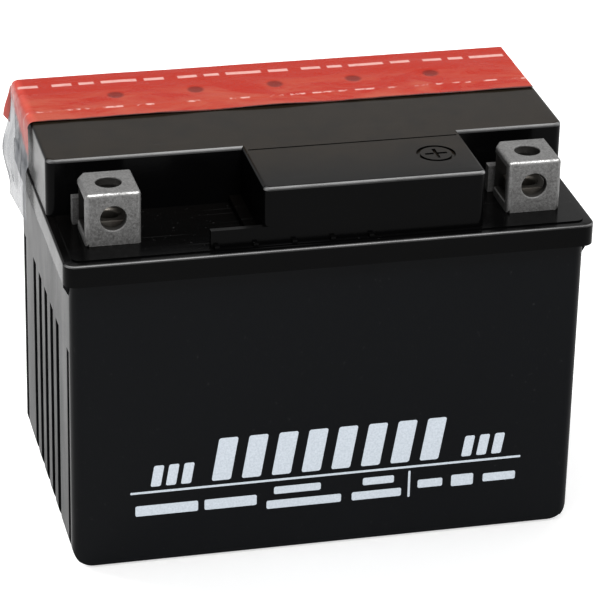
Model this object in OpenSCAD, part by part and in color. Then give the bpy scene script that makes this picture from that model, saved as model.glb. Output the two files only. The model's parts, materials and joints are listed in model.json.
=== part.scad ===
// Small sealed motorcycle battery: six cells in a ribbed case, a heat-sealed cover with two
// terminal pockets, a strip of six filler plugs and a peel-off film over the plugs.
// Units are millimetres. +Z is up, +X is right and -Y is the front, where the terminals are.
// The origin is the centre of the base.

/* [Overall size] */
// Length along X over the cover's rim
battery_length = 114; // [113:0.5:116]
// Width along Y over the cover's rim
battery_width = 71; // [70.5:0.5:73]
// Height from the base to the top of the seal film
battery_height = 86; // [85.5:0.5:88]

/* [Case] */
// How far the cover's rim stands out past the case at each end
end_overhang = 1.5; // [1.4:0.1:1.8]
// How far the cover's rim stands out past the case at the front and back
side_overhang = 2.3; // [1.8:0.1:2.4]
// Thickness of the outer walls
wall = 2.4; // [2.2:0.1:2.6]
// Thickness of the floor
floor_thick = 2.6; // [2.4:0.1:3]
// Thickness of the walls between the cells
partition = 1.4; // [1.2:0.1:1.6]
// Plan radius of the case's vertical corners
case_corner = 2.2; // [1.5:0.1:3]
// Radius of the rounding under each end
base_round = 4.5; // [2:0.5:5]
// Depth of the upright grooves in the end walls
groove_depth = 0.9; // [0.6:0.1:1]
// Width of the five middle grooves
groove_width = 3.7; // [3:0.1:4.2]
// Width of the single groove near each corner
edge_groove_width = 2.4; // [2:0.1:3]
// Spacing of the five middle grooves
groove_pitch = 7.7; // [7:0.1:8]
// Distance of the corner grooves from the middle
edge_groove_y = 28.9; // [27:0.1:29.5]
// Height where the grooves stop
groove_top = 50.4; // [45:0.2:55]

/* [Cover] */
// Height of the ledge that the terminals stand on
ledge_height = 73; // [72.5:0.1:73.5]
// Height of the rim's lower edge
rim_bottom = 67.8; // [67.2:0.1:68.2]
// Front face of the rear block, measured from the middle
rear_block_front = 10.6; // [10:0.1:11]
// Front face of the middle block, measured from the middle
middle_block_front = 32.6; // [32:0.1:33]
// Left side of the middle block, measured from the middle
middle_block_left = 14.8; // [14:0.1:15.5]
// Right side of the middle block, measured from the middle
middle_block_right = 33; // [32:0.1:34]
// Thickness of the cover's top and side walls
cover_wall = 2.4; // [2.2:0.1:2.6]
// Thickness of the plate under the terminals
plate_thick = 2.8; // [2.6:0.1:3]
// Depth of the channel that holds the plug strip
channel_depth = 5; // [4.8:0.1:5.4]
// Width of the channel
channel_width = 17.4; // [17:0.1:18]
// Distance of the channel's middle line behind the middle of the battery
channel_y = 22.3; // [22:0.1:22.6]
// Diameter of each filler port
port_diameter = 10; // [9.6:0.1:10.4]

/* [Terminals] */
// Distance of each terminal's middle from the middle of the battery
terminal_x = 45.3; // [44.8:0.1:45.6]
// Outside width of a terminal along X
terminal_width = 11.7; // [11.5:0.1:12]
// Outside depth of a terminal along Y
terminal_depth = 12.2; // [12:0.1:12.4]
// Height of a terminal above the ledge
terminal_height = 11.7; // [11.5:0.1:12]
// Distance of the terminal's middle in front of the middle of the battery
terminal_y = 21.2; // [21:0.1:21.4]
// Diameter of the bolt holes in the front and top
bolt_hole = 5.5; // [5.2:0.1:5.8]
// Width of the nut, flat to flat
nut_width = 8; // [7.8:0.1:8]
// Thickness of the nut
nut_thick = 2.7; // [2.5:0.1:3]

/* [Plates] */
// Thickness of one plate
plate_t = 1.3; // [1.1:0.1:1.3]
// Thickness of one glass-mat separator
mat_t = 1; // [0.8:0.1:1]
// Width of the plates along Y
plate_width = 59; // [55:1:59]
// Height of the plates' upper edge
plate_top = 54; // [50:1:55]

/* [Seal film] */
// Front edge of the film, measured from the middle
film_front = 10; // [9.5:0.1:11]
// Length of the film's tail that stays stuck down when it is peeled
film_tail = 12; // [10:1:14]

/* [Hidden] */
$fn = 48;
sliver = 0.01;
half_l = battery_length / 2;
half_w = battery_width / 2;
film_thick = 0.25;
film_gap = 0.05;
cover_top = battery_height - film_thick - film_gap;
case_x = half_l - end_overhang;
case_y = half_w - side_overhang;
seal_gap = 0.1;
plate_under = ledge_height - plate_thick;
case_top = plate_under - seal_gap;
rim_gap = 0.15;
rim_corner = 2.8;
block_x = half_l - 0.4;
block_corner = 2;

cells = 6;
inner_x = case_x - wall;
inner_y = case_y - wall;
cell_pitch = (2 * inner_x + partition) / cells;
cell_w = cell_pitch - partition;
function cell_x(n) = (n - 3.5) * cell_pitch;

strap_y = terminal_y;
strap_w = 8.5;
strap_low = plate_top + 3.5;
strap_thick = 3;
strap_top = strap_low + strap_thick;
strap_x = cell_w / 2 - 0.35;
upright_thick = 2.2;
upright_top = strap_top + 7.5;
upright_face = cell_w / 2 - 0.08;
weld_z = strap_top + 3.8;
weld_hole = 7;
weld_diameter = 6.9;
plate_low = floor_thick + 0.6;
plate_pitch = plate_t + mat_t + 0.1;
lug_w = 7;

neck_diameter = 13;
neck_low = case_top - 1.1;
post_diameter = 7;
seal_inside = 7.1;
seal_outside = 9.9;
boss_hole = 10;
boss_diameter = 12.6;
boss_low = plate_under - 4;
channel_floor = cover_top - channel_depth;
channel_half = inner_x + 0.4;
chamber_mid = channel_y - channel_width / 2 - cover_wall;

terminal_low = ledge_height + 0.05;
terminal_top = ledge_height + terminal_height;
terminal_wall = 1.9;
window_low = terminal_low + 1.8;
window_top = terminal_top - 1.8;
hole_z = ledge_height + 6;

strip_low = channel_floor + 0.3;
strip_thick = 2.2;
plug_diameter = port_diameter - 0.2;
plug_low = channel_floor - 9;
plug_bore = 7;
head_diameter = 13;
head_top = cover_top - 0.1;
valve_floor = plug_low + 4.2;

// A box from its low corner to its high corner.
module box(low, high) {
    translate(low)
        cube(high - low);
}

// A rectangle with rounded corners, in plan.
module rounded_plan(x0, x1, y0, y1, r) {
    translate([x0 + r, y0])
        square([x1 - x0 - 2 * r, y1 - y0]);
    translate([x0, y0 + r])
        square([x1 - x0, y1 - y0 - 2 * r]);
    for (x = [x0 + r, x1 - r])
        for (y = [y0 + r, y1 - r])
            translate([x, y])
                circle(r);
}

// A block with rounded vertical corners.
module rounded_block(x0, x1, y0, y1, z0, z1, r) {
    translate([0, 0, z0])
        linear_extrude(z1 - z0)
            rounded_plan(x0, x1, y0, y1, r);
}

// A round bar along X, centred on x.
module bar_x(x, y, z, d, length) {
    translate([x - length / 2, y, z])
        rotate([0, 90, 0])
            cylinder(d = d, h = length);
}

// ---- case -------------------------------------------------------------------------------

// The case seen from the front, with its two lower corners rounded.
module case_end_view() {
    union() {
        translate([-case_x, base_round])
            square([2 * case_x, case_top - base_round]);
        translate([-case_x + base_round, 0])
            square([2 * case_x - 2 * base_round, base_round + 1]);
        for (side = [-1, 1])
            translate([side * (case_x - base_round), base_round])
                circle(base_round);
    }
}

// A wedge that widens the end wall just under the cover's rim.
module case_flare(side) {
    flare = 1.1;
    flare_top = rim_bottom - 0.3;
    flare_half = case_y - case_corner;
    translate([0, flare_half, 0])
        rotate([90, 0, 0])
            linear_extrude(2 * flare_half)
                polygon([
                    [side * (case_x - 1), flare_top - 3.4],
                    [side * case_x, flare_top - 3.4],
                    [side * (case_x + flare), flare_top - 1.4],
                    [side * (case_x + flare), flare_top],
                    [side * (case_x - 1), flare_top]]);
}

module end_groove(side, y, width) {
    far = case_x + 1;
    near = case_x - groove_depth;
    low_x = side > 0 ? near : -far;
    high_x = side > 0 ? far : -near;
    box([low_x, y - width / 2, -1], [high_x, y + width / 2, groove_top]);
}

module case() {
    pad_depth = 0.5;
    pad_half_x = 5.5;
    pad_half_y = 27;
    color([0.09, 0.095, 0.1])
        difference() {
            union() {
                intersection() {
                    rounded_block(-case_x, case_x, -case_y, case_y, 0, case_top, case_corner);
                    translate([0, battery_width / 2, 0])
                        rotate([90, 0, 0])
                            linear_extrude(battery_width)
                                case_end_view();
                }
                case_flare(-1);
                case_flare(1);
            }
            for (n = [1:cells])
                box([cell_x(n) - cell_w / 2, -inner_y, floor_thick],
                    [cell_x(n) + cell_w / 2, inner_y, case_top + 1]);
            for (n = [1:cells])
                box([cell_x(n) - pad_half_x, -pad_half_y, -1],
                    [cell_x(n) + pad_half_x, pad_half_y, pad_depth]);
            for (side = [-1, 1]) {
                for (k = [-2:2])
                    end_groove(side, k * groove_pitch, groove_width);
                for (y = [-edge_groove_y, edge_groove_y])
                    end_groove(side, y, edge_groove_width);
            }
            for (n = [1:cells - 1])
                bar_x(cell_x(n) + cell_pitch / 2, weld_side(n) * strap_y, weld_z, weld_hole,
                    partition + 2);
        }
}

// ---- cover ------------------------------------------------------------------------------

module cover_outside() {
    border_drop = 0.3;
    border = 2;
    rounded_block(-half_l, half_l, -half_w, half_w, rim_bottom, ledge_height - border_drop,
        rim_corner);
    rounded_block(-half_l + border, half_l - border, -half_w + border, half_w - border,
        ledge_height - border_drop - sliver, ledge_height, rim_corner - 1);
    rounded_block(-block_x, block_x, -rear_block_front, half_w, ledge_height - 1, cover_top,
        block_corner);
    rounded_block(-middle_block_left, middle_block_right, -middle_block_front, 0,
        ledge_height - 1, cover_top, 1.5);
}

// Hollows under the two blocks, one for each cell.
module cover_chambers() {
    ceiling = cover_top - cover_wall;
    low_ceiling = channel_floor - cover_wall;
    end_x = block_x - cover_wall;
    for (n = [1:cells]) {
        x0 = max(cell_x(n) - cell_w / 2, -end_x);
        x1 = min(cell_x(n) + cell_w / 2, end_x);
        box([x0, -rear_block_front + cover_wall, plate_under - 1], [x1, chamber_mid, ceiling]);
        box([x0, chamber_mid - 1, plate_under - 1], [x1, half_w - 2 * cover_wall, low_ceiling]);
    }
    for (n = [3:5]) {
        x0 = max(cell_x(n) - cell_w / 2, -middle_block_left + cover_wall);
        x1 = min(cell_x(n) + cell_w / 2, middle_block_right - cover_wall);
        box([x0, -middle_block_front + cover_wall, plate_under - 1],
            [x1, -rear_block_front + cover_wall + 1, ceiling]);
    }
}

// A plus sign in a ring, sunk into the top beside the positive terminal.
module plus_mark() {
    mark_depth = 0.45;
    ring = 8.4;
    line = 0.8;
    arm = 4.8;
    translate([25, -21.5, cover_top - mark_depth]) {
        difference() {
            cylinder(d = ring, h = 1);
            translate([0, 0, -1])
                cylinder(d = ring - 2 * line, h = 3);
        }
        translate([-arm / 2, -line / 2, 0])
            cube([arm, line, 1]);
        translate([-line / 2, -arm / 2, 0])
            cube([line, arm, 1]);
    }
}

// A low fence beside the middle block, a step along its side and a row of small nubs.
module ledge_details() {
    fence_left = 25.9;
    fence_thick = 1.3;
    fence_height = 3.9;
    step_out = 2.6;
    step_height = 1.6;
    nub = 1;
    nub_pitch = 8.25;
    box([-fence_left, -middle_block_front, ledge_height - 1],
        [-middle_block_left + 2, -middle_block_front + fence_thick,
            ledge_height + fence_height]);
    box([-middle_block_left - step_out, -middle_block_front + 0.5, ledge_height - 1],
        [-middle_block_left + 2, -rear_block_front + 1, ledge_height + step_height]);
    for (k = [0:4])
        translate([-25.25 + k * nub_pitch, -middle_block_front - nub, ledge_height - 0.5])
            cube([nub, nub + 1, 1.3]);
}

module cover() {
    crease_y = -12.6;
    crease = 0.5;
    crease_depth = 0.35;
    crease_end = 1;
    color([0.03, 0.03, 0.034])
        difference() {
            union() {
                difference() {
                    union() {
                        cover_outside();
                        ledge_details();
                    }
                    cover_chambers();
                    rounded_block(-case_x - rim_gap, case_x + rim_gap, -case_y - rim_gap,
                        case_y + rim_gap, rim_bottom - 1, plate_under, case_corner);
                }
                for (n = [1:cells])
                    translate([cell_x(n), channel_y, neck_low])
                        cylinder(d = neck_diameter, h = channel_floor - neck_low - 1);
                for (side = [-1, 1])
                    translate([side * terminal_x, -terminal_y, boss_low])
                        cylinder(d = boss_diameter, h = plate_under - boss_low + 1);
            }
            box([-channel_half, channel_y - channel_width / 2, channel_floor],
                [channel_half, channel_y + channel_width / 2, cover_top + 1]);
            for (n = [1:cells])
                translate([cell_x(n), channel_y, neck_low - 1])
                    cylinder(d = port_diameter, h = channel_floor - neck_low + 2);
            for (side = [-1, 1])
                translate([side * terminal_x, -terminal_y, boss_low - 1])
                    cylinder(d = boss_hole, h = ledge_height - boss_low + 2);
            plus_mark();
            box([-middle_block_left + crease_end, crease_y - crease / 2,
                    cover_top - crease_depth],
                [middle_block_right - crease_end, crease_y + crease / 2, cover_top + 1]);
        }
}

// ---- terminals --------------------------------------------------------------------------

// A cast lead box, open at both sides for the nut, on a round post.
module terminal(x) {
    w = terminal_width / 2;
    d = terminal_depth / 2;
    cut_x = 1.4;
    cut_y = 2.4;
    foot_x = w + 0.8;
    color([0.5, 0.5, 0.49])
        translate([x, -terminal_y, 0])
            difference() {
                union() {
                    translate([0, 0, terminal_low])
                        linear_extrude(terminal_top - terminal_low)
                            polygon([[-w, -d], [w, -d], [w, d], [-w + cut_x, d],
                                [-w, d - cut_y]]);
                    box([-foot_x, d - 0.6, terminal_low], [foot_x, d + 1.5, terminal_low + 6]);
                    translate([0, 0, strap_top])
                        cylinder(d = post_diameter, h = terminal_low - strap_top + 1);
                }
                box([-w - 1, -d + terminal_wall, window_low],
                    [w + 1, d - terminal_wall, window_top]);
                translate([0, 0, window_top - 1])
                    cylinder(d = bolt_hole, h = 4);
                translate([0, -d + terminal_wall + 1, hole_z])
                    rotate([90, 0, 0])
                        cylinder(d = bolt_hole, h = 4);
            }
}

module negative_terminal() {
    terminal(-terminal_x);
}

module positive_terminal() {
    terminal(terminal_x);
}

// A square M5 nut lying in the terminal's window.
module nut(x) {
    thread_minor = 4.2;
    nut_low = window_low + 0.1;
    mouth = 5.4;
    color([0.72, 0.72, 0.74])
        translate([x, -terminal_y, nut_low])
            difference() {
                translate([-nut_width / 2, -nut_width / 2, 0])
                    cube([nut_width, nut_width, nut_thick]);
                translate([0, 0, -1])
                    cylinder(d = thread_minor, h = nut_thick + 2);
                translate([0, 0, nut_thick - 0.4])
                    cylinder(d1 = thread_minor, d2 = mouth, h = 0.4 + sliver);
            }
}

module negative_nut() {
    nut(-terminal_x);
}

module positive_nut() {
    nut(terminal_x);
}

// The potting ring round a post.
module post_seal(x) {
    color([0.12, 0.12, 0.13])
        translate([x, -terminal_y, boss_low + 0.5])
            difference() {
                cylinder(d = seal_outside, h = ledge_height - boss_low - 0.8);
                translate([0, 0, -1])
                    cylinder(d = seal_inside, h = ledge_height - boss_low + 2);
            }
}

module negative_post_seal() {
    post_seal(-terminal_x);
}

module positive_post_seal() {
    post_seal(terminal_x);
}

// ---- plug strip -------------------------------------------------------------------------

module plug_strip() {
    strip_half = channel_half - 0.6;
    strip_w = 9;
    stub = 3.2;
    stub_hole = 1.6;
    color([0.05, 0.05, 0.055])
        difference() {
            union() {
                rounded_block(-strip_half, strip_half, channel_y - strip_w / 2,
                    channel_y + strip_w / 2, strip_low, strip_low + strip_thick, 2);
                for (n = [1:cells])
                    translate([cell_x(n), channel_y, 0]) {
                        translate([0, 0, plug_low])
                            cylinder(d = plug_diameter, h = strip_low + 1 - plug_low);
                        translate([0, 0, strip_low])
                            cylinder(d = head_diameter, h = head_top - strip_low);
                    }
            }
            for (n = [1:cells])
                translate([cell_x(n), channel_y, 0]) {
                    translate([0, 0, plug_low - 1])
                        cylinder(d = plug_bore, h = valve_floor - 1.2 - plug_low + 1);
                    translate([0, 0, valve_floor])
                        difference() {
                            cylinder(d = plug_bore, h = strip_low + 0.8 - valve_floor);
                            translate([0, 0, -1])
                                cylinder(d = stub, h = 3);
                        }
                    translate([0, 0, plug_low])
                        cylinder(d = stub_hole, h = valve_floor - plug_low + 2.6);
                    translate([0, 0, head_top - 0.5])
                        difference() {
                            cylinder(d = 9, h = 1);
                            translate([0, 0, -1])
                                cylinder(d = 7.6, h = 3);
                        }
                }
            for (n = [1:cells - 1])
                translate([cell_x(n) + cell_pitch / 2, channel_y, strip_low - 1])
                    cylinder(d = 3.4, h = strip_thick + 2);
        }
}

// Rubber caps over the vent stubs inside the plugs.
module relief_valves() {
    color([0.15, 0.15, 0.15])
        for (n = [1:cells])
            translate([cell_x(n), channel_y, valve_floor + 0.1])
                difference() {
                    cylinder(d = 5.4, h = 3.4);
                    translate([0, 0, -1])
                        cylinder(d = 3.3, h = 3.2);
                }
}

// Porous discs in the lower end of the plugs.
module flame_discs() {
    color([0.85, 0.85, 0.82])
        for (n = [1:cells])
            translate([cell_x(n), channel_y, plug_low + 0.6])
                cylinder(d = plug_bore - 0.1, h = 1.6);
}

// ---- seal film --------------------------------------------------------------------------

module film_sheet(x0, x1) {
    box([x0, film_front, battery_height - film_thick], [x1, half_w - 0.2, battery_height]);
}

module seal_film() {
    flap_low = ledge_height + 1;
    color([0.78, 0.12, 0.1, 0.6])
        union() {
            film_sheet(-half_l, half_l - film_tail);
            box([-half_l, film_front, flap_low],
                [-half_l + film_thick, half_w - 0.2, battery_height]);
        }
}

module seal_film_tail() {
    color([0.78, 0.12, 0.1, 0.6])
        film_sheet(half_l - film_tail + 0.05, half_l - 0.4);
}

// ---- cells ------------------------------------------------------------------------------

// Which side the link from cell n to cell n + 1 is on: 1 is the back, -1 is the front.
function weld_side(n) = n % 2 == 1 ? 1 : -1;
// The positive lugs are at the back of odd cells, the negative lugs at the front.
function positive_side(n) = n % 2 == 1 ? 1 : -1;

// One plate with its lug.
module one_plate(x, side) {
    box([x - plate_t / 2, -plate_width / 2, plate_low],
        [x + plate_t / 2, plate_width / 2, plate_top]);
    box([x - plate_t / 2, side * strap_y - lug_w / 2, plate_top - 1],
        [x + plate_t / 2, side * strap_y + lug_w / 2, strap_low]);
}

module positive_plates(n) {
    color([0.24, 0.13, 0.09])
        for (k = [-2, 0, 2])
            one_plate(cell_x(n) + k * plate_pitch, positive_side(n));
}

module negative_plates(n) {
    color([0.42, 0.43, 0.44])
        for (k = [-3, -1, 1, 3])
            one_plate(cell_x(n) + k * plate_pitch, -positive_side(n));
}

module separators(n) {
    color([0.93, 0.93, 0.9])
        for (k = [-2.5:1:2.5])
            box([cell_x(n) + k * plate_pitch - mat_t / 2, -plate_width / 2 - 0.5,
                    plate_low - 0.3],
                [cell_x(n) + k * plate_pitch + mat_t / 2, plate_width / 2 + 0.5,
                    plate_top + 1.5]);
}

// The bar that joins a cell's like plates, with an upright against the next cell's wall.
module strap(n, side, upright) {
    x = cell_x(n);
    color([0.5, 0.5, 0.5])
        union() {
            box([x - strap_x, side * strap_y - strap_w / 2, strap_low],
                [x + strap_x, side * strap_y + strap_w / 2, strap_top]);
            if (upright > 0)
                box([x + upright_face - upright_thick, side * strap_y - strap_w / 2,
                        strap_low + 0.5],
                    [x + upright_face, side * strap_y + strap_w / 2, upright_top]);
            if (upright < 0)
                box([x - upright_face, side * strap_y - strap_w / 2, strap_low + 0.5],
                    [x - upright_face + upright_thick, side * strap_y + strap_w / 2,
                        upright_top]);
        }
}

module positive_strap(n) {
    strap(n, positive_side(n), n < cells ? 1 : 0);
}

module negative_strap(n) {
    strap(n, -positive_side(n), n > 1 ? -1 : 0);
}

// The weld through the wall between two cells.
module cell_weld(n) {
    color([0.55, 0.55, 0.55])
        bar_x(cell_x(n) + cell_pitch / 2, weld_side(n) * strap_y, weld_z, weld_diameter,
            cell_pitch - 2 * upright_face);
}

// ---- nodes ------------------------------------------------------------------------------

case();
cover();
negative_terminal();
positive_terminal();
negative_nut();
positive_nut();
negative_post_seal();
positive_post_seal();
plug_strip();
relief_valves();
flame_discs();
seal_film();
seal_film_tail();
positive_plates(1);  // positive_plates_1
negative_plates(1);  // negative_plates_1
separators(1);  // separators_1
positive_strap(1);  // positive_strap_1
negative_strap(1);  // negative_strap_1
positive_plates(2);  // positive_plates_2
negative_plates(2);  // negative_plates_2
separators(2);  // separators_2
positive_strap(2);  // positive_strap_2
negative_strap(2);  // negative_strap_2
positive_plates(3);  // positive_plates_3
negative_plates(3);  // negative_plates_3
separators(3);  // separators_3
positive_strap(3);  // positive_strap_3
negative_strap(3);  // negative_strap_3
positive_plates(4);  // positive_plates_4
negative_plates(4);  // negative_plates_4
separators(4);  // separators_4
positive_strap(4);  // positive_strap_4
negative_strap(4);  // negative_strap_4
positive_plates(5);  // positive_plates_5
negative_plates(5);  // negative_plates_5
separators(5);  // separators_5
positive_strap(5);  // positive_strap_5
negative_strap(5);  // negative_strap_5
positive_plates(6);  // positive_plates_6
negative_plates(6);  // negative_plates_6
separators(6);  // separators_6
positive_strap(6);  // positive_strap_6
negative_strap(6);  // negative_strap_6
cell_weld(1);  // cell_weld_1
cell_weld(2);  // cell_weld_2
cell_weld(3);  // cell_weld_3
cell_weld(4);  // cell_weld_4
cell_weld(5);  // cell_weld_5
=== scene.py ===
"""Looks for a small sealed motorcycle battery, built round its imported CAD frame.

The moulded case, cover and lead terminals are copies of the CAD shapes with rounded edges.
The seal film, the print and the finish of every other part are made here.
Metres throughout, in the frame of the CAD model: +Z up, -Y front, origin under the middle.
"""
import json
import math

import bmesh
import bpy
from mathutils import Matrix, Vector, noise
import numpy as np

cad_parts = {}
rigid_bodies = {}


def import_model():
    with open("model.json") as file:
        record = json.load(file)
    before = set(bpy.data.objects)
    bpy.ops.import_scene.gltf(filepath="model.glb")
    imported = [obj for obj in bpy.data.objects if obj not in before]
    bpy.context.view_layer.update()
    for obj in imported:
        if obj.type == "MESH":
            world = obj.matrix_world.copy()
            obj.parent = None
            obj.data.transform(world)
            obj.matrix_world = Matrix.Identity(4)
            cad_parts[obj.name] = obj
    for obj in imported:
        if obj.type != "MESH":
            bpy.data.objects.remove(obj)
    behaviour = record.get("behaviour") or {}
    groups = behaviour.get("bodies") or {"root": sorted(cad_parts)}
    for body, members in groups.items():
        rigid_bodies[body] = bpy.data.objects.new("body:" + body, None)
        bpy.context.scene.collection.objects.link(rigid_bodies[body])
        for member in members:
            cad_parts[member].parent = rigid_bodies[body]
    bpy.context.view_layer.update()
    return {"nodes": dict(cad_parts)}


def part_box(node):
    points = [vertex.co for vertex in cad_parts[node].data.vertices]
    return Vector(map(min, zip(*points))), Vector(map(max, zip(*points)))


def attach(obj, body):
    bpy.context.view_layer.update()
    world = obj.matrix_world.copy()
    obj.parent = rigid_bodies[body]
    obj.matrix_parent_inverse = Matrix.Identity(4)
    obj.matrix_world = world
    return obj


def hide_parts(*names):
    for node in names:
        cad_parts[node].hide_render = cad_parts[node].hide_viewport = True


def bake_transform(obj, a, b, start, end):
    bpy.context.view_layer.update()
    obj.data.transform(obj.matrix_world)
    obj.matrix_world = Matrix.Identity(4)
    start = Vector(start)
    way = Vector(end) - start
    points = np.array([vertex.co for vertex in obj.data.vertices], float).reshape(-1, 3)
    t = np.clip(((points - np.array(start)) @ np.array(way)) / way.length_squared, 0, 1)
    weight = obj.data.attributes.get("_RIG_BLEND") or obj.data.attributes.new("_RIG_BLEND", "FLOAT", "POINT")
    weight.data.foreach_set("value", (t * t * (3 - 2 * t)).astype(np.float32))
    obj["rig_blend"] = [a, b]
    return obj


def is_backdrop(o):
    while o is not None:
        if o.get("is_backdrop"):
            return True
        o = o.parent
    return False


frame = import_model()

MM = 0.001

# Places and sizes of the CAD model
COVER_LOW, COVER_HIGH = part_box("cover")
CASE_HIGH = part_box("case")[1]
TOP = COVER_HIGH.z
LEDGE = 73 * MM                                     # level that the terminals stand on
RIM_TOP, RIM_BOTTOM = 72.7 * MM, COVER_LOW.z
BLOCK_X = 56.6 * MM                                 # half the width of the rear block
MIDDLE_LEFT, MIDDLE_RIGHT = -14.8 * MM, 33 * MM     # sides of the middle block
CHANNEL_Y, CHANNEL_HALF = 22.3 * MM, 8.7 * MM       # middle and half depth of the plugs' channel
CREASE_Y = -12.6 * MM                               # shallow groove across the top
PLUS_MARK = Vector((25 * MM, -21.5 * MM, TOP))
CASE_Y = 33.2 * MM                                  # front and back walls of the case
CASE_WALL_X = 55.5 * MM                             # end walls of the case, between grooves
TERMINAL_Y = -21.2 * MM
TERMINAL_W, TERMINAL_D = 11.7 * MM, 12.2 * MM
CELL_PITCH = 17.933 * MM
HINGE_X = 45 * MM                                   # line that the seal film peels about

WELD = 2e-6             # points nearer than this are one point
SMOOTH_UNDER = 38       # edges duller than this, in degrees, are shaded smooth
BEVEL_OVER = 35         # edges sharper than this, in degrees, are rounded by modifiers
HIGHLIGHT_FACING = 0.62    # how far forward the faces with the brightest painted highlight along an edge look


# ---- mesh helpers -----------------------------------------------------------------------

def cad_copy(node):
    """A copy of a CAD node's mesh with its points joined and its upright faces made whole."""
    bm = bmesh.new()
    bm.from_mesh(frame["nodes"][node].data)
    bmesh.ops.remove_doubles(bm, verts=bm.verts, dist=WELD)
    upright = [e for e in bm.edges if all(abs(f.normal.z) < 0.5 for f in e.link_faces)]
    bmesh.ops.dissolve_limit(bm, angle_limit=math.radians(0.5), verts=[],
                             edges=upright, use_dissolve_boundaries=False)
    bm.normal_update()
    bm.faces.layers.float.new("scuffed_and_lit")
    bm.faces.layers.float.new("inner")
    return bm


def pick_edges(bm, test, least=20):
    """The edges sharper than least degrees that pass the test.

    The test is given the edge's middle, the normals of its two faces, and the edge.
    """
    picked = []
    for e in bm.edges:
        if len(e.link_faces) != 2:
            continue
        a, b = (f.normal for f in e.link_faces)
        if a.length < 0.5 or b.length < 0.5 or a.angle(b) < math.radians(least):
            continue
        if test((e.verts[0].co + e.verts[1].co) / 2, a, b, e):
            picked.append(e)
    return picked


def round_edges(bm, edges, width, segments=3, scuff_and_highlight=0.0, spread=0.42):
    """Rounds the edges, and marks the new faces that look up and forward for scuffing and a painted
    highlight.
    """
    made = bmesh.ops.bevel(bm, geom=edges, offset=width, offset_type="OFFSET",
                           segments=segments, profile=0.5, affect="EDGES",
                           clamp_overlap=False, loop_slide=False)
    bm.normal_update()
    scuffed_and_lit = bm.faces.layers.float["scuffed_and_lit"]
    for f in made["faces"]:
        forward = max(0.0, 1 - abs(-f.normal.y - HIGHLIGHT_FACING) / spread)
        f[scuffed_and_lit] = max(f[scuffed_and_lit], scuff_and_highlight * forward)


def finished(bm, name, body, slot, material, *nodes):
    """Turns a bmesh into a smooth-shaded piece that stands for the CAD nodes."""
    mesh = bpy.data.meshes.new(name)
    bm.to_mesh(mesh)
    bm.free()
    cad_normals = mesh.attributes.get("custom_normal")
    if cad_normals:
        mesh.attributes.remove(cad_normals)     # they no longer fit the rounded faces
    mesh.materials.append(material)
    mesh.polygons.foreach_set("use_smooth", [True] * len(mesh.polygons))
    mesh.set_sharp_from_angle(angle=math.radians(SMOOTH_UNDER))
    piece = bpy.data.objects.new(name, mesh)
    bpy.context.scene.collection.objects.link(piece)
    weighted = piece.modifiers.new("even_shading", "WEIGHTED_NORMAL")
    weighted.keep_sharp = True
    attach(piece, body)
    if nodes:
        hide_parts(*nodes)


# ---- material helpers -------------------------------------------------------------------

class Finish:
    """One procedural material round a Principled shader."""

    def __init__(self, name, coords="Object", **values):
        self.material = bpy.data.materials.new(name)
        self.material.use_nodes = True
        self.tree = self.material.node_tree
        self.shader = self.tree.nodes["Principled BSDF"]
        self.coord = self.tree.nodes.new("ShaderNodeTexCoord").outputs[coords]
        for socket, value in values.items():
            self.shader.inputs[socket.replace("_", " ")].default_value = value

    def node(self, kind, inputs=(), **settings):
        """A new node; an input is a socket to link, a value to set, or None to leave alone."""
        made = self.tree.nodes.new(kind)
        for key, value in settings.items():
            setattr(made, key, value)
        for index, value in enumerate(inputs):
            if isinstance(value, bpy.types.NodeSocket):
                self.tree.links.new(value, made.inputs[index])
            elif value is not None:
                made.inputs[index].default_value = value
        return made

    def noise(self, scale, detail=4, roughness=0.55, stretch=(1, 1, 1), distortion=0):
        place = self.node("ShaderNodeMapping", [self.coord, None, None, stretch])
        made = self.node("ShaderNodeTexNoise", [place.outputs[0]])
        made.inputs["Scale"].default_value = scale
        made.inputs["Detail"].default_value = detail
        made.inputs["Roughness"].default_value = roughness
        made.inputs["Distortion"].default_value = distortion
        return made.outputs["Fac"]

    def maths(self, operation, a, b=0.0, c=0.0):
        return self.node("ShaderNodeMath", [a, b, c], operation=operation).outputs[0]

    def between(self, value, low, high, to_low=0.0, to_high=1.0, smooth=False):
        """The value's place from low to high, as a number from to_low to to_high, kept within."""
        kind = "SMOOTHSTEP" if smooth else "LINEAR"
        made = self.node("ShaderNodeMapRange", interpolation_type=kind)
        for index, v in enumerate((value, low, high, to_low, to_high)):
            if isinstance(v, bpy.types.NodeSocket):
                self.tree.links.new(v, made.inputs[index])
            else:
                made.inputs[index].default_value = v
        return made.outputs[0]

    def mixed(self, factor, a, b):
        """Colour a where the factor is 0, and colour b where it is 1."""
        made = self.tree.nodes.new("ShaderNodeMix")
        made.data_type = "RGBA"
        for index, value in ((0, factor), (6, a), (7, b)):
            if isinstance(value, bpy.types.NodeSocket):
                self.tree.links.new(value, made.inputs[index])
            else:
                made.inputs[index].default_value = value
        return made.outputs[2]

    def bump(self, height, distance, strength, under=None):
        """The normal with this relief, over the relief that is already under it."""
        made = self.node("ShaderNodeBump")
        made.inputs["Strength"].default_value = strength
        made.inputs["Distance"].default_value = distance
        self.tree.links.new(height, made.inputs["Height"])
        if under is not None:
            self.tree.links.new(under, made.inputs["Normal"])
        return made.outputs[0]

    def attribute(self, name):
        return self.node("ShaderNodeAttribute", attribute_name=name).outputs["Fac"]

    def axes(self):
        return self.node("ShaderNodeSeparateXYZ", [self.coord]).outputs

    def upward(self):
        """1 on faces that look up, where dust can lie and the painted sheen goes, and 0 on walls."""
        normal = self.node("ShaderNodeTexCoord").outputs["Normal"]
        up = self.node("ShaderNodeSeparateXYZ", [normal]).outputs[2]
        return self.between(up, 0.75, 0.97)

    def to(self, **sockets):
        """Links outputs to the shader's sockets, named with _ for each space."""
        for socket, value in sockets.items():
            self.tree.links.new(value, self.shader.inputs[socket.replace("_", " ")])
        return self


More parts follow.
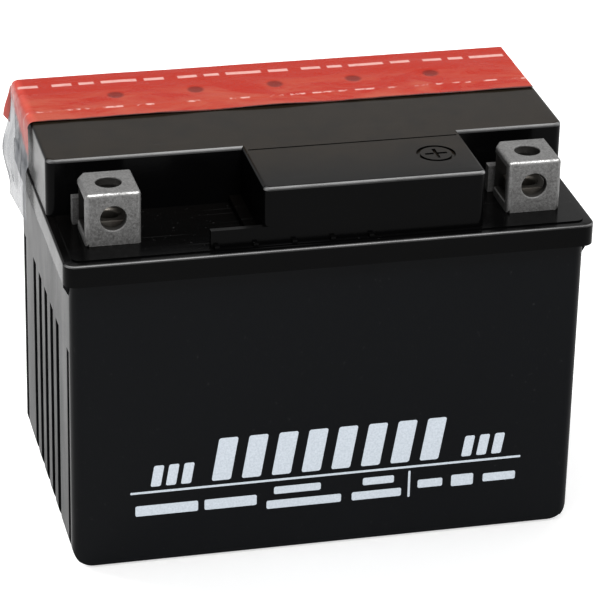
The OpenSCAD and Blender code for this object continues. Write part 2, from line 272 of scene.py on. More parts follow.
def grey(v, warm=0.0):
    """A grey, with this share more red and less blue."""
    return (v * (1 + warm), v, v * (1 - warm), 1)


def case_plastic():
    """Satin black polypropylene with a fine moulded grain, faint flow marks and dust."""
    f = Finish("case_plastic", IOR=1.17, Roughness=0.4)
    flow = f.noise(14, 5, 0.6, (1, 1, 0.25))
    dust = f.between(f.noise(900, 2, 0.7), 0.66, 0.78)
    tone = f.mixed(flow, (0.0002, 0.0004, 0.0008, 1), (0.0006, 0.0009, 0.0014, 1))
    tone = f.mixed(f.maths("MULTIPLY", dust, 0.02), tone, grey(0.3))
    smear = f.noise(40, 6, 0.65, (1, 1, 0.4), 0.6)
    grain = f.bump(f.noise(2600, 3, 0.6), 0.00004, 0.5)
    waves = f.bump(f.noise(26, 2, 0.4), 0.0004, 0.25, grain)
    return f.to(Base_Color=tone, Roughness=f.between(smear, 0.3, 0.7, 0.3, 0.46),
                Normal=waves).material


def cover_plastic():
    """Glossy black plastic with warm dust and painted sheen on top, rub marks, and a painted highlight with
    some scuffing along the front edges.
    """
    f = Finish("cover_plastic", IOR=1.12, Roughness=0.2)
    _, y, z = f.axes()
    rub = f.noise(55, 6, 0.7, (0.35, 1, 1), 0.4)
    blotch = f.noise(130, 5, 0.65)
    up = f.upward()
    lines = f.noise(900, 2, 0.5, (0.03, 1, 1))
    scratch = f.maths("MULTIPLY", f.between(lines, 0.64, 0.72), up)
    specks = f.maths("MULTIPLY", f.between(f.noise(1500, 1, 0.5), 0.74, 0.8), up)
    tone = f.mixed(rub, (0.0003, 0.0003, 0.0003, 1), (0.0011, 0.0011, 0.0012, 1))
    # The warm colour on the tops is partly dust and partly painted sheen, the bright room reflected in them;
    # it fades out towards the front and down to the ledge.
    dust = f.maths("MULTIPLY", up, f.between(blotch, 0.3, 0.7, 0.55, 1.3))
    from_front = f.between(y, -33 * MM, -12 * MM)
    from_ledge = f.between(z, LEDGE + 1 * MM, TOP - 1 * MM, 0.06, 1)
    dust = f.maths("MULTIPLY", f.maths("MULTIPLY", dust, from_front), from_ledge)
    tone = f.mixed(dust, tone, (0.0052, 0.0036, 0.002, 1))
    marks = f.maths("MAXIMUM", f.maths("MULTIPLY", scratch, 0.006),
                    f.maths("MULTIPLY", specks, 0.02))
    tone = f.mixed(marks, tone, grey(0.4))
    # Forward-facing edges lightened: a painted highlight, with some scuffing.
    edge_scuff_and_highlight = f.maths("MULTIPLY", f.attribute("scuffed_and_lit"), f.between(rub, 0.35, 0.6, 0.45, 1))
    tone = f.mixed(edge_scuff_and_highlight, tone, grey(0.13))
    rough = f.maths("ADD", f.between(rub, 0.3, 0.75, 0.15, 0.27),
                    f.maths("MULTIPLY", scratch, 0.05))
    fine = f.bump(f.noise(1700, 3, 0.6), 0.00003, 0.35)
    waves = f.bump(f.noise(45, 3, 0.5), 0.0003, 0.2, fine)
    return f.to(Base_Color=tone, Roughness=rough, Normal=waves).material


def cast_lead(name="cast_lead", tone=0.079, fine=1.0):
    """Dull cast lead: fine pits, dark oxide clouds, forward edges paler from scuffing and a painted
    highlight, the inside painted near black as shade.
    """
    f = Finish(name, Metallic=0.75, Roughness=0.5)
    cloud = f.noise(220 * fine, 6, 0.7)
    grain = f.noise(2400 * fine, 3, 0.75)
    patch = f.between(f.noise(500, 4, 0.7), 0.38, 0.6)
    scuffed_and_lit = f.maths("MULTIPLY", f.attribute("scuffed_and_lit"), patch)
    base = f.mixed(f.between(cloud, 0.3, 0.7), grey(tone * 0.6, 0.03), grey(tone * 1.1, 0.01))
    base = f.mixed(f.between(grain, 0.35, 0.75), base, grey(tone * 2.0, 0.01))
    # Forward-facing edges paler: scuffing and a painted highlight.
    base = f.mixed(scuffed_and_lit, base, grey(0.2, 0.01))
    # Faces inside the terminal box near black: painted shade of the hollow.
    base = f.mixed(f.maths("MULTIPLY", f.attribute("inner"), 0.95), base, grey(0.01, 0.1))
    rough = f.between(scuffed_and_lit, 0, 1, 0.56, 0.28)
    pits = f.bump(grain, 0.00012, 0.6)
    dents = f.bump(f.noise(420 * fine, 3, 0.6), 0.0003, 0.35, pits)
    return f.to(Base_Color=base, Roughness=rough, Normal=dents).material


def plated_steel():
    """Dull plated steel with fine drawn lines and brown tarnish."""
    f = Finish("plated_steel", Metallic=0.9, Roughness=0.5)
    lines = f.noise(1800, 3, 0.6, (0.05, 1, 1))
    blot = f.noise(300, 4, 0.6)
    base = f.mixed(f.between(blot, 0.3, 0.7), (0.035, 0.03, 0.026, 1), (0.075, 0.07, 0.062, 1))
    return f.to(Base_Color=base, Roughness=f.between(lines, 0.3, 0.7, 0.4, 0.6),
                Normal=f.bump(lines, 0.00004, 0.5)).material


def dull_plastic(name, dark, light, rough):
    """Plain moulded plastic, rubber or potting with clouds and grain."""
    f = Finish(name, IOR=1.4, Roughness=rough)
    cloud = f.noise(90, 5, 0.6)
    base = f.mixed(cloud, dark, light)
    grain = f.bump(f.noise(1800, 3, 0.6), 0.00005, 0.5)
    return f.to(Base_Color=base, Roughness=f.between(cloud, 0.3, 0.7, rough - 0.06, rough + 0.1),
                Normal=grain).material


def paste(name, dark, light):
    """Cured plate paste with the lead grid's ribs just showing and small cracks."""
    f = Finish(name, Roughness=0.85)
    _, y, z = f.axes()
    half_rib_pitch, half_bar_pitch = 2.5 * MM, 3.5 * MM
    ribs = f.maths("PINGPONG", y, half_rib_pitch)
    bars = f.maths("PINGPONG", z, half_bar_pitch)
    grid = f.maths("MAXIMUM", f.between(ribs, 0.35 * MM, 0.15 * MM),
                   f.between(bars, 0.3 * MM, 0.12 * MM))
    cloud = f.noise(160, 5, 0.65)
    base = f.mixed(cloud, dark, light)
    base = f.mixed(f.maths("MULTIPLY", grid, 0.35), base, grey(0.3))
    rough = f.bump(f.noise(1500, 4, 0.7), 0.00015, 0.7)
    return f.to(Base_Color=base, Normal=f.bump(grid, 0.0002, 0.5, rough)).material


def glass_mat():
    """White glass-fibre mat: a felt of fine crossing fibres."""
    f = Finish("glass_mat", Roughness=0.95)
    one = f.noise(1400, 4, 0.7, (1, 0.08, 1))
    other = f.noise(1300, 4, 0.7, (1, 1, 0.08))
    fibres = f.maths("MAXIMUM", one, other)
    base = f.mixed(f.between(fibres, 0.4, 0.7), grey(0.62, 0.02), grey(0.86, 0.01))
    return f.to(Base_Color=base, Normal=f.bump(fibres, 0.0002, 0.8)).material


def print_ink():
    """White print, slightly scuffed, with a fine screen grain."""
    f = Finish("print_ink", Roughness=0.5)
    grain = f.noise(2200, 3, 0.7)
    patch = f.noise(120, 5, 0.6)
    base = f.mixed(f.between(grain, 0.35, 0.7), (0.27, 0.3, 0.33, 1), (0.36, 0.39, 0.43, 1))
    base = f.mixed(f.between(patch, 0.68, 0.8, 0, 0.4), base, (0.12, 0.13, 0.14, 1))
    return f.to(Base_Color=base, Normal=f.bump(grain, 0.00003, 0.4)).material


# ---- moulded shells ---------------------------------------------------------------------

def near(a, b, within=0.12 * MM):
    return abs(a - b) < within


def outer_rim(mid):
    rim = 3 * MM
    return abs(mid.x) > COVER_HIGH.x - rim or abs(mid.y) > COVER_HIGH.y - rim


def at_level(mid, a, b, e, level):
    """A convex edge of a flat top at this level."""
    return e.is_convex and near(mid.z, level, 0.02 * MM) and max(a.z, b.z) > 0.9


def on_top_outline(mid, a, b, e):
    """An edge round the top of the two blocks, and not one of the marks cut into the top."""
    in_channel = (abs(mid.y - CHANNEL_Y) < CHANNEL_HALF + 0.3 * MM
                  and abs(mid.x) < BLOCK_X - 1 * MM)
    in_plus = (mid - PLUS_MARK).length < 5 * MM
    in_crease = (MIDDLE_LEFT + 0.3 * MM < mid.x < MIDDLE_RIGHT - 0.3 * MM
                 and abs(mid.y - CREASE_Y) < 0.5 * MM)
    return at_level(mid, a, b, e, TOP) and not (in_channel or in_plus or in_crease)


def on_rim_top(mid, a, b, e):
    return at_level(mid, a, b, e, RIM_TOP) and outer_rim(mid)


def on_rim_bottom(mid, a, b, e):
    """An edge between the rim's underside and its outer wall."""
    outside_case = abs(mid.x) > CASE_HIGH.x + 0.6 * MM or abs(mid.y) > CASE_Y + 1 * MM
    return (e.is_convex and near(mid.z, RIM_BOTTOM, 0.02 * MM) and min(a.z, b.z) < -0.9
            and max(abs(a.z + 1), abs(b.z + 1)) > 0.5 and outside_case)


def cover():
    bm = cad_copy("cover")
    round_edges(bm, pick_edges(bm, on_top_outline), 0.75 * MM, 4, scuff_and_highlight=1.0)
    round_edges(bm, pick_edges(bm, on_rim_top), 0.5 * MM, 3, scuff_and_highlight=1.0)
    round_edges(bm, pick_edges(bm, on_rim_bottom), 0.4 * MM, 2)
    finished(bm, "cover_shell", "battery", "cover_plastic", cover_plastic(), "cover")


def case():
    bm = cad_copy("case")
    foot_top = 6 * MM
    grooved = CASE_Y - 2.4 * MM

    def front_foot(m, a, b, e):
        return (e.is_convex and near(abs(m.y), CASE_Y, 0.05 * MM) and m.z < foot_top
                and max(abs(a.y), abs(b.y)) > 0.9)

    def groove_lip(m, a, b, e):
        return (e.is_convex and near(abs(m.x), CASE_WALL_X, 0.05 * MM) and m.z > foot_top
                and abs(m.y) < grooved and max(abs(a.x), abs(b.x)) > 0.9)

    round_edges(bm, pick_edges(bm, front_foot), 0.3 * MM, 2, scuff_and_highlight=1.0)
    round_edges(bm, pick_edges(bm, groove_lip), 0.18 * MM, 2)
    finished(bm, "case_shell", "battery", "case_plastic", case_plastic(), "case")


def terminal(node, material):
    bm = cad_copy(node)
    low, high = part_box(node)
    middle = Vector(((low.x + high.x) / 2, TERMINAL_Y, 0))
    front = middle.y - TERMINAL_D / 2
    foot = LEDGE + 1 * MM

    def top_or_front_corner(m, a, b, e):
        if not e.is_convex or (m - middle).xy.length < 4.5 * MM:
            return False
        corner = near(m.y, front) and abs(a.z) < 0.1 and abs(b.z) < 0.1
        return near(m.z, high.z) or (corner and abs(m.x - middle.x) > TERMINAL_W / 2 - 0.1 * MM)

    def opening(m, a, b, e):
        if not e.is_convex or m.z < foot:
            return False
        side = near(abs(m.x - middle.x), TERMINAL_W / 2) and m.y < TERMINAL_Y + 5 * MM
        top_hole = near(m.z, high.z) and (m - middle).xy.length < 4 * MM
        hole = abs(m.x - middle.x) < 3.4 * MM and (near(m.y, front) or top_hole)
        return side or hole

    corners = pick_edges(bm, top_or_front_corner, 30)
    round_edges(bm, corners, 0.75 * MM, 4, scuff_and_highlight=1.0, spread=0.6)
    round_edges(bm, pick_edges(bm, opening, 40), 0.3 * MM, 2, scuff_and_highlight=1.0)
    scuffed_and_lit, inner = bm.faces.layers.float["scuffed_and_lit"], bm.faces.layers.float["inner"]
    for face in bm.faces:
        c = face.calc_center_median()
        if c.z < high.z - 1 * MM:
            face[scuffed_and_lit] = min(face[scuffed_and_lit], 0.6)
        past = max(abs(c.x - middle.x) - TERMINAL_W / 2, abs(c.y - middle.y) - TERMINAL_D / 2)
        # Faces inside the box are marked for painted shade.
        if past < -0.5 * MM and foot < c.z < high.z - 0.5 * MM:
            face[inner] = 1.0
    finished(bm, node + "_cast", "battery", "lead", material, node)


# ---- print ------------------------------------------------------------------------------

def plate_outline(bm, points, y, thick):
    """A thin raised plate on the front wall with the outline points (x, z)."""
    back = [bm.verts.new((x, y, z)) for x, z in points]
    front = [bm.verts.new((x, y - thick, z)) for x, z in points]
    bm.faces.new(front)
    bm.faces.new(back[::-1])
    for i in range(len(points)):
        j = (i + 1) % len(points)
        bm.faces.new((back[i], back[j], front[j], front[i]))


def rounded_bar(x0, x1, z0, z1, radius, slant=0.0, steps=4):
    """The outline of a bar with round corners; slant leans it to the right."""
    points = []
    corners = ((x1 - radius, z1 - radius, 0), (x0 + radius, z1 - radius, 90),
               (x0 + radius, z0 + radius, 180), (x1 - radius, z0 + radius, 270))
    for cx, cz, start in corners:
        for k in range(steps + 1):
            a = math.radians(start + 90 * k / steps)
            x, z = cx + radius * math.cos(a), cz + radius * math.sin(a)
            points.append((x + slant * (z - z0), z))
    return points


def front_print():
    """Plain bars and a rule in white on the front wall, in place of lettering."""
    bm = bmesh.new()
    y, thick = -CASE_Y + 0.005 * MM, 0.035 * MM
    # In millimetres: left, right, bottom, top and corner radius of a bar, then its slant
    bars = [(-43.1, 43.8, 16.65, 17.15, 0.2, 0)]
    bars += [(-25.4 + 6.6 * k, -21.2 + 6.6 * k, 18.2, 28.4, 0.5, 0.16) for k in range(8)]
    bars += [(-38.7 + 3.3 * k, -36.5 + 3.3 * k, 18.2, 23.2, 0.4, 0.16) for k in range(3)]
    bars += [(30.2 + 3.4 * k, 32.4 + 3.4 * k, 18.2, 23.2, 0.4, 0.16) for k in range(3)]
    for x0, x1, z0, z1 in ((-42, -28.3, 11.2, 13.7), (-26.9, -15.4, 11.2, 13.7),
                           (-11.6, -1.2, 13.4, 15.2), (-13.2, 3.4, 9.9, 11.9),
                           (8.2, 15.2, 13.4, 15.2), (5.8, 16.9, 9.9, 11.9),
                           (18.4, 18.9, 9.4, 15.9), (20.6, 26.2, 11.4, 13.4),
                           (28.2, 33.2, 11, 13.8), (35.4, 42.8, 11.4, 13.4)):
        bars.append((x0, x1, z0, z1, min(0.4, (x1 - x0) / 2.2), 0))
    for x0, x1, z0, z1, r, slant in bars:
        outline = rounded_bar(x0 * MM, x1 * MM, z0 * MM, z1 * MM, r * MM, slant)
        plate_outline(bm, outline, y, thick)
    bmesh.ops.recalc_face_normals(bm, faces=bm.faces)
    finished(bm, "front_print", "battery", "case_plastic", print_ink())


# ---- seal film --------------------------------------------------------------------------

# The film is measured along it from its right end (s or u) and back from its front edge (t or v)
FILM_RIGHT = 56.2 * MM
FILM_FRONT = 9.8 * MM
FILM_GAP = 0.16 * MM                        # between the cover and the film's middle surface
FLAP = 26 * MM                              # end that hangs down the left side
BEND, BACK_BEND = 1.3 * MM, 0.95 * MM       # radii over the left and the back edge
BACK_FLAP = 6 * MM                          # edge that is folded down over the back
FILM_LEFT = -BLOCK_X + 0.8 * MM             # where the bends start
FILM_BACK = COVER_HIGH.y - 0.75 * MM
FILM_RUN = FILM_RIGHT - FILM_LEFT
FILM_ACROSS = FILM_BACK - FILM_FRONT
EAR_DOWN, EAR_OUT = 9.6 * MM, 2 * MM        # pinched corner where the two folded ends meet
QUARTER = math.pi / 2
PHRASE = 28.3 * MM                          # one run of bars, from its start to the next one's
WORDS = ((0.2, 4.6), (6.2, 9.6), (11.2, 19.2), (20.9, 25.4))    # bars in a phrase, in mm


def ripple(x, y, scale_x, scale_y, seed):
    return noise.noise(Vector((x * scale_x, y * scale_y, seed)))


def film_lift(s, t):
    """How far the film stands off the cover: waves, a loose front edge, a ridge and five dips."""
    loose_edge, ridge_back, ridge_width, dip_radius = 3.2 * MM, 5.6 * MM, 0.5 * MM, 2.2 * MM
    lift = 0.10 * MM * ripple(s, t, 60, 160, 3.1) + 0.05 * MM * ripple(s, t, 220, 420, 8.4)
    edge = max(0.0, 1 - t / loose_edge)
    lift += edge * edge * (0.2 * MM + 0.22 * MM * ripple(s, t, 75, 30, 5.5))
    off_ridge = t - ridge_back - 0.5 * MM * ripple(s, 0, 50, 1, 4.4)
    ridge = math.exp(-(off_ridge / ridge_width) ** 2)
    lift += 0.09 * MM * ridge * max(0.0, 0.5 + ripple(s, t, 160, 40, 9.2))
    hole = min(abs(FILM_RIGHT - s - k * CELL_PITCH) for k in (-2, -1, 0, 1, 2))
    dip = math.hypot(hole, t + FILM_FRONT - CHANNEL_Y) / dip_radius
    return lift - 0.14 * MM * max(0.0, 1 - dip * dip)


def film_flap(down, t):
    """How far the hanging end stands out past its bend, down along it."""
    share, across = down / FLAP, t / FILM_ACROSS
    folds = (0.9 * ripple(down, t, 45, 330, 1.7) + 0.45 * ripple(down, t, 120, 620, 6.2)) * MM
    swell = math.sin(math.pi * min(1.0, share * 1.05)) ** 2 * share
    out = (3.6 * swell + 0.5 * share) * MM * (0.1 + 1.05 * across)
    out += folds * min(1.0, share * 2.2) * (0.25 + 0.65 * across)
    rim_down = 10 * MM
    past_rim = min(1.0, max(0.0, (down - rim_down) / (2 * MM)))
    return max(out, 0.15 * MM + 0.7 * MM * past_rim)


def film_point(s, t):
    """Where the film's point s along and t back lies in space."""
    lift = film_lift(s, t)
    if s <= FILM_RUN:
        past = t - FILM_ACROSS
        if past <= 0:
            return Vector((FILM_RIGHT - s, FILM_FRONT + t, TOP + FILM_GAP + lift))
        turn, rest = min(past / BACK_BEND, QUARTER), max(0.0, past - BACK_BEND * QUARTER)
        r = BACK_BEND + 0.5 * lift
        wave = 0.5 * MM * (0.5 + ripple(s, t, 120, 60, 7.7)) * rest / BACK_FLAP
        return Vector((FILM_RIGHT - s, FILM_BACK + r * math.sin(turn) + wave,
                       TOP + FILM_GAP - BACK_BEND + r * math.cos(turn) - rest))
    down = s - FILM_RUN - BEND * QUARTER
    corner_z = TOP + FILM_GAP - BEND
    if down < 0:
        turn = (s - FILM_RUN) / BEND
        r = BEND + lift
        return Vector((FILM_LEFT - r * math.sin(turn), FILM_FRONT + t,
                       corner_z + r * math.cos(turn)))
    drop = down * (0.86 + 0.14 * t / FILM_ACROSS)
    slide = 0.8 * MM * down / FLAP * ripple(down, t, 90, 90, 2.2)
    return Vector((FILM_LEFT - BEND - film_flap(down, t), FILM_FRONT + t + slide,
                   corner_z - drop))


def film_grid(bm, uv, point, s0, s1, t0, t1, columns, rows, start=None):
    """A grid of faces over a patch of the film, joined to a column of points if one is given."""
    columns_made = [start] if start else []
    for i in range(len(columns_made), columns + 1):
        s = s0 + (s1 - s0) * i / columns
        columns_made.append([bm.verts.new(point(s, t0 + (t1 - t0) * j / rows))
                             for j in range(rows + 1)])
    for i in range(columns):
        for j in range(rows):
            corners = ((i, j), (i, j + 1), (i + 1, j + 1), (i + 1, j))
            face = bm.faces.new([columns_made[a][b] for a, b in corners])
            for loop, (a, b) in zip(face.loops, corners):
                loop[uv].uv = (s0 + (s1 - s0) * a / columns, t0 + (t1 - t0) * b / rows)
    return columns_made


def dog_ear(s, t):
    """The corner of film that is pinched out where the two folded ends meet."""
    down = s - FILM_RUN
    share, widest = down / EAR_DOWN, 0.84
    width = EAR_OUT * (share / widest if share < widest else max(0.0, (1 - share) / (1 - widest)))
    out = width * (t - FILM_ACROSS) / EAR_OUT
    curl = 0.35 * MM * math.sin(share * 5 + out / MM)
    return Vector((FILM_LEFT - BEND - 0.1 * MM - 0.78 * out + curl * 0.5,
                   FILM_BACK + 0.75 * MM + 0.62 * out + curl * 0.5,
                   TOP - 0.6 * MM - down - 0.1 * out))


def words(f, u, v, start, bottom, top, soft_edge, strength):
    """A row of soft bars in place of words, read from u = start towards the right end."""
    place = f.maths("WRAP", f.maths("SUBTRACT", start, u), PHRASE, 0.0)
    soft_end = 0.12 * MM
    bars = None
    for left, right in WORDS:
        low = f.between(place, left * MM - soft_end, left * MM + soft_end)
        high = f.between(place, right * MM + soft_end, right * MM - soft_end)
        bar = f.maths("MULTIPLY", low, high)
        bars = bar if bars is None else f.maths("MAXIMUM", bars, bar)
    row = f.maths("MULTIPLY", f.between(v, bottom, bottom + soft_edge),
                  f.between(v, top, top - soft_edge))
    return f.maths("MULTIPLY", f.maths("MULTIPLY", bars, row), strength)


def gap_shade_ovals(f, u, v):
    """The five dark ovals between the six plugs, painted on the film as the shade in the gaps under it."""
    beside = f.maths("SUBTRACT", u, FILM_RIGHT)
    along = f.maths("PINGPONG", beside, CELL_PITCH / 2)
    across = f.maths("SUBTRACT", v, CHANNEL_Y - FILM_FRONT)
    away = f.maths("SQRT", f.maths("ADD", f.maths("MULTIPLY", along, along),
                                   f.maths("MULTIPLY", across, across)))
    within_row = f.between(f.maths("ABSOLUTE", beside), 43 * MM, 41 * MM)
    return f.maths("MULTIPLY", f.between(away, 2.1 * MM, 1.4 * MM, 0, 0.75), within_row)


def red_film():
    """Thin red film with haze, creases, pale bars and a painted highlight along the front crease, a painted
    shadow along its front edge and painted shade in five ovals, clear at its hanging end, where its grey
    streaks are painted reflections.
    """
    f = Finish("red_film", "UV", IOR=1.12, Roughness=0.3)
    u, v, _ = f.axes()
    haze = f.noise(110, 5, 0.65, (0.45, 1, 1), 1.2)
    fine = f.noise(900, 4, 0.7, (0.4, 1, 1))
    front_half = f.between(v, 17 * MM, 11 * MM, 0.1, 1, smooth=True)
    haze = f.maths("MULTIPLY", f.between(haze, 0.42, 0.6), front_half)
    red = f.mixed(haze, (0.178, 0.0065, 0.0012, 1), (0.2, 0.032, 0.018, 1))
    red = f.mixed(f.between(fine, 0.6, 0.8, 0, 0.3), red, (0.24, 0.05, 0.035, 1))
    hanging = f.between(u, FILM_RUN - 1 * MM, FILM_RUN + 2 * MM)
    pale = f.between(f.noise(260, 5, 0.75), 0.35, 0.65, 0.55, 1)
    red = f.mixed(f.maths("MULTIPLY", hanging, pale), red, (0.4, 0.06, 0.045, 1))
    # Painted shade of the gaps between the plugs.
    red = f.mixed(gap_shade_ovals(f, u, v), red, (0.055, 0.004, 0.003, 1))
    # A dark wandering line along the front edge: painted shadow under the lifted edge.
    wander = f.between(f.noise(130, 3, 0.6), 0.3, 0.7, -0.35 * MM, 0.35 * MM)
    edge_shadow_band = f.between(f.maths("ADD", v, wander), 0.85 * MM, 0.55 * MM, 0, 0.85)
    edge = f.maths("MULTIPLY", edge_shadow_band, f.between(u, FILM_RUN, FILM_RUN - 3 * MM))
    red = f.mixed(edge, red, (0.012, 0.0008, 0.0006, 1))
    back_row = words(f, u, v, 105.2 * MM, 19.3 * MM, 20.9 * MM, 0.2 * MM,
                     f.between(fine, 0.3, 0.5, 0.45, 0.8))
    # The front row lies on the crease ridge: pale print bars, broken up so that they also stand as a painted
    # highlight on the ridge.
    crease_print_and_glint = words(f, u, v, 117 * MM, 5.2 * MM, 6.2 * MM, 0.15 * MM,
                      f.between(f.noise(260, 4, 0.7), 0.48, 0.58, 0, 0.75))
    red = f.mixed(f.maths("MAXIMUM", back_row, crease_print_and_glint), red, (0.34, 0.2, 0.18, 1))
    slant = f.maths("ADD", u, f.maths("MULTIPLY", v, 0.22))
    on_ear = f.between(v, FILM_ACROSS, FILM_ACROSS + 0.2 * MM, 0, 12 * MM)
    slant = f.maths("SUBTRACT", slant, on_ear)
    ragged = f.maths("ADD", slant, f.between(fine, 0.3, 0.7, -1.2 * MM, 1.2 * MM))
    clear = f.between(ragged, FILM_RUN + 8 * MM, FILM_RUN + 11 * MM, smooth=True)
    # The clear end's streaked grey: painted reflections in the wrinkled clear film.
    streak = f.noise(300, 5, 0.7, (0.35, 1, 1), 1.0)
    clear_sheen = f.mixed(f.between(streak, 0.35, 0.65), (0.035, 0.038, 0.045, 1),
                     (0.12, 0.127, 0.142, 1))
    base = f.mixed(clear, red, clear_sheen)
    crease = f.bump(f.noise(420, 6, 0.7, (1, 1, 1), 1.5), 0.0003, 0.35)
    return f.to(Base_Color=base, Alpha=f.between(clear, 0, 1, 0.97, 0.78),
                Roughness=f.between(haze, 0, 1, 0.26, 0.42), Normal=crease).material


def seal_film():
    """One wrinkled sheet over the plugs, bent down over the left end and over the back."""
    total = FILM_RUN + BEND * QUARTER + FLAP
    across = FILM_ACROSS + BACK_BEND * QUARTER + BACK_FLAP
    columns, rows = 230, 52
    bm = bmesh.new()
    uv = bm.loops.layers.uv.new("UVMap")
    top = film_grid(bm, uv, film_point, 0, FILM_RUN, 0, FILM_ACROSS, columns, rows)
    film_grid(bm, uv, film_point, FILM_RUN, total, 0, FILM_ACROSS, 60, rows, start=top[-1])
    film_grid(bm, uv, film_point, 0, FILM_RUN, FILM_ACROSS, across, columns, 18)
    film_grid(bm, uv, dog_ear, FILM_RUN, FILM_RUN + EAR_DOWN, FILM_ACROSS,
              FILM_ACROSS + EAR_OUT, 24, 6)
    bmesh.ops.remove_doubles(bm, verts=bm.verts, dist=1e-7)
    mesh = bpy.data.meshes.new("seal_film_sheet")
    bm.to_mesh(mesh)
    bm.free()
    mesh.materials.append(red_film())
    mesh.polygons.foreach_set("use_smooth", [True] * len(mesh.polygons))
    piece = bpy.data.objects.new("seal_film_sheet", mesh)
    bpy.context.scene.collection.objects.link(piece)
    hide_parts("seal_film", "seal_film_tail")
    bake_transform(piece, "plug_strip", "seal_film", start=(HINGE_X + 0.5 * MM, 0, TOP),
             end=(HINGE_X - 8 * MM, 0, TOP))


# ---- CAD nodes that keep their shape ----------------------------------------------------

def dress(node, material, bevel=0.0):
    """Gives a CAD node its material, and rounds its edges with modifiers."""
    piece = frame["nodes"][node]
    piece.data.materials.clear()
    piece.data.materials.append(material)
    if bevel:
        weld = piece.modifiers.new("weld", "WELD")
        weld.merge_threshold = WELD
        edges = piece.modifiers.new("edges", "BEVEL")
        edges.width = bevel
        edges.segments = 2
        edges.limit_method = "ANGLE"
        edges.angle_limit = math.radians(BEVEL_OVER)
        edges.loop_slide = False


def inner_parts():
    steel = plated_steel()
    for node in ("negative_nut", "positive_nut"):
        dress(node, steel, 0.2 * MM)
    potting = dull_plastic("potting", grey(0.012), grey(0.022), 0.5)
    for node in ("negative_post_seal", "positive_post_seal"):
        dress(node, potting)
    dress("plug_strip", dull_plastic("plug_plastic", grey(0.008), grey(0.014), 0.35), 0.2 * MM)
    dress("relief_valves", dull_plastic("valve_rubber", grey(0.012), grey(0.02), 0.7))
    dress("flame_discs", dull_plastic("porous_disc", grey(0.5, 0.03), grey(0.68, 0.02), 0.85))
    brown = paste("positive_paste", (0.05, 0.022, 0.014, 1), (0.11, 0.05, 0.03, 1))
    slate = paste("negative_paste", (0.13, 0.135, 0.14, 1), (0.24, 0.245, 0.25, 1))
    mat = glass_mat()
    strap = cast_lead("strap_lead", 0.34, 0.7)
    for node in frame["nodes"]:
        if node.startswith("positive_plates"):
            dress(node, brown)
        elif node.startswith("negative_plates"):
            dress(node, slate)
        elif node.startswith("separators"):
            dress(node, mat)
        elif "strap_" in node or node.startswith("cell_weld"):
            dress(node, strap)


# ---- stage ------------------------------------------------------------------------------

def aim(obj, target):
    obj.rotation_euler = (Vector(target) - obj.location).to_track_quat("-Z", "Y").to_euler()


def softbox(name, place, target, width, height, radiance):
    """A rectangular light that faces the target, as bright as its radiance says at any size."""
    light = bpy.data.lights.new(name, "AREA")
    light.shape = "RECTANGLE"
    light.size, light.size_y = width, height
    light.energy = radiance * math.pi * width * height
    obj = bpy.data.objects.new(name, light)
    obj.location = place
    bpy.context.scene.collection.objects.link(obj)
    aim(obj, target)
    return obj


def shine_only_on(light, objects):
    """Keeps a light to these objects."""
    lit = bpy.data.collections.new(light.name + "_lit")
    for obj in objects:
        lit.objects.link(obj)
    light.light_linking.receiver_collection = lit


def sky():
    """An even pale room, brighter behind the object."""
    world = bpy.data.worlds.new("studio")
    world.use_nodes = True
    tree = world.node_tree
    toward = tree.nodes.new("ShaderNodeTexCoord").outputs["Generated"]
    lobe = tree.nodes.new("ShaderNodeVectorMath")
    lobe.operation = "DOT_PRODUCT"
    tree.links.new(toward, lobe.inputs[0])
    behind = Vector((0.22, 0.87, 0.44))
    lobe.inputs[1].default_value = behind.normalized()
    strength = tree.nodes.new("ShaderNodeMapRange")
    strength.interpolation_type = "SMOOTHSTEP"
    tree.links.new(lobe.outputs["Value"], strength.inputs[0])
    low, high, least, most = 0.3, 1.0, 0.75, 1.1
    for index, value in enumerate((low, high, least, most), 1):
        strength.inputs[index].default_value = value
    tree.links.new(strength.outputs[0], tree.nodes["Background"].inputs["Strength"])
    tree.nodes["Background"].inputs["Color"].default_value = grey(1.0)
    bpy.context.scene.world = world


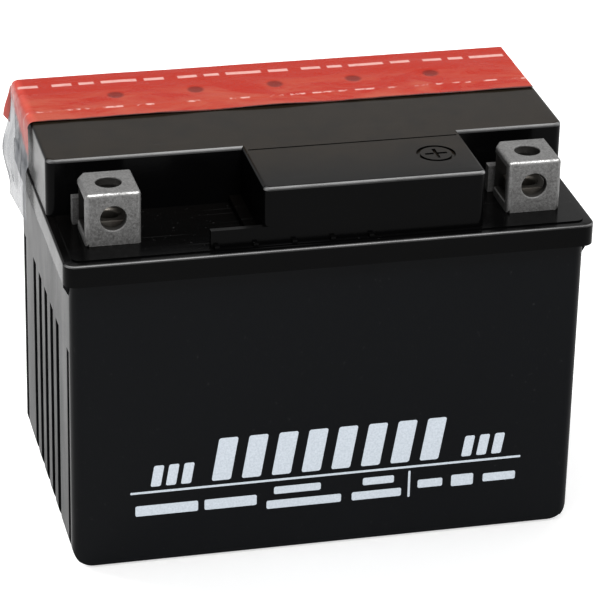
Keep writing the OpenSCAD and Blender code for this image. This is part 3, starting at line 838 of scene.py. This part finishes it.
def floor():
    """A pale matt floor with a faint glow, which is no part of the object."""
    f = Finish("studio_floor", Roughness=0.9, IOR=1.3)
    mottle = f.noise(3, 3, 0.5)
    f.to(Base_Color=f.mixed(mottle, grey(0.88), grey(0.92)))
    f.shader.inputs["Emission Color"].default_value = grey(1.0)
    f.shader.inputs["Emission Strength"].default_value = 0.5
    half, z = 4.0, -0.3 * MM
    mesh = bpy.data.meshes.new("floor")
    mesh.from_pydata([(-half, -half, z), (half, -half, z), (half, half, z), (-half, half, z)],
                     [], [(0, 1, 2, 3)])
    mesh.materials.append(f.material)
    obj = bpy.data.objects.new("floor", mesh)
    bpy.context.scene.collection.objects.link(obj)
    obj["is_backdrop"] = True
    return obj


def studio():
    """The room, a key light on the object, and a fill that lights the floor behind its left."""
    scene = bpy.context.scene
    scene.view_settings.view_transform = "Standard"
    sky()
    key = softbox("key", place=(0.12, -0.42, 0.95), target=(0, 0, 0.05),
                  width=0.5, height=0.6, radiance=30)
    shine_only_on(key, [o for o in scene.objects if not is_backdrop(o)])
    fill = softbox("back_fill", place=(-0.7, 0.75, 0.6), target=(-0.35, 0.4, 0),
                   width=0.6, height=0.6, radiance=11.0)
    shine_only_on(fill, [floor()])


def camera():
    """The photograph's view: a pinhole camera fitted to the size of the case and cover."""
    place = Vector((-0.14782, -0.60242, 0.34684))
    right = Vector((0.9725, -0.2319, 0.0217))
    forward = Vector((0.2174, 0.8707, -0.4412))
    data = bpy.data.cameras.new("camera")
    data.sensor_width = 36
    data.lens = 183.67
    data.clip_start, data.clip_end = 0.05, 30
    obj = bpy.data.objects.new("camera", data)
    back = -forward.normalized()
    right = (right - back * right.dot(back)).normalized()
    up = back.cross(right)
    turn = Matrix((right, up, back)).transposed().to_4x4()
    obj.matrix_world = Matrix.Translation(place) @ turn
    bpy.context.scene.collection.objects.link(obj)
    bpy.context.scene.camera = obj


cover()
case()
lead = cast_lead()
terminal("negative_terminal", lead)
terminal("positive_terminal", lead)
front_print()
seal_film()
inner_parts()
studio()
camera()
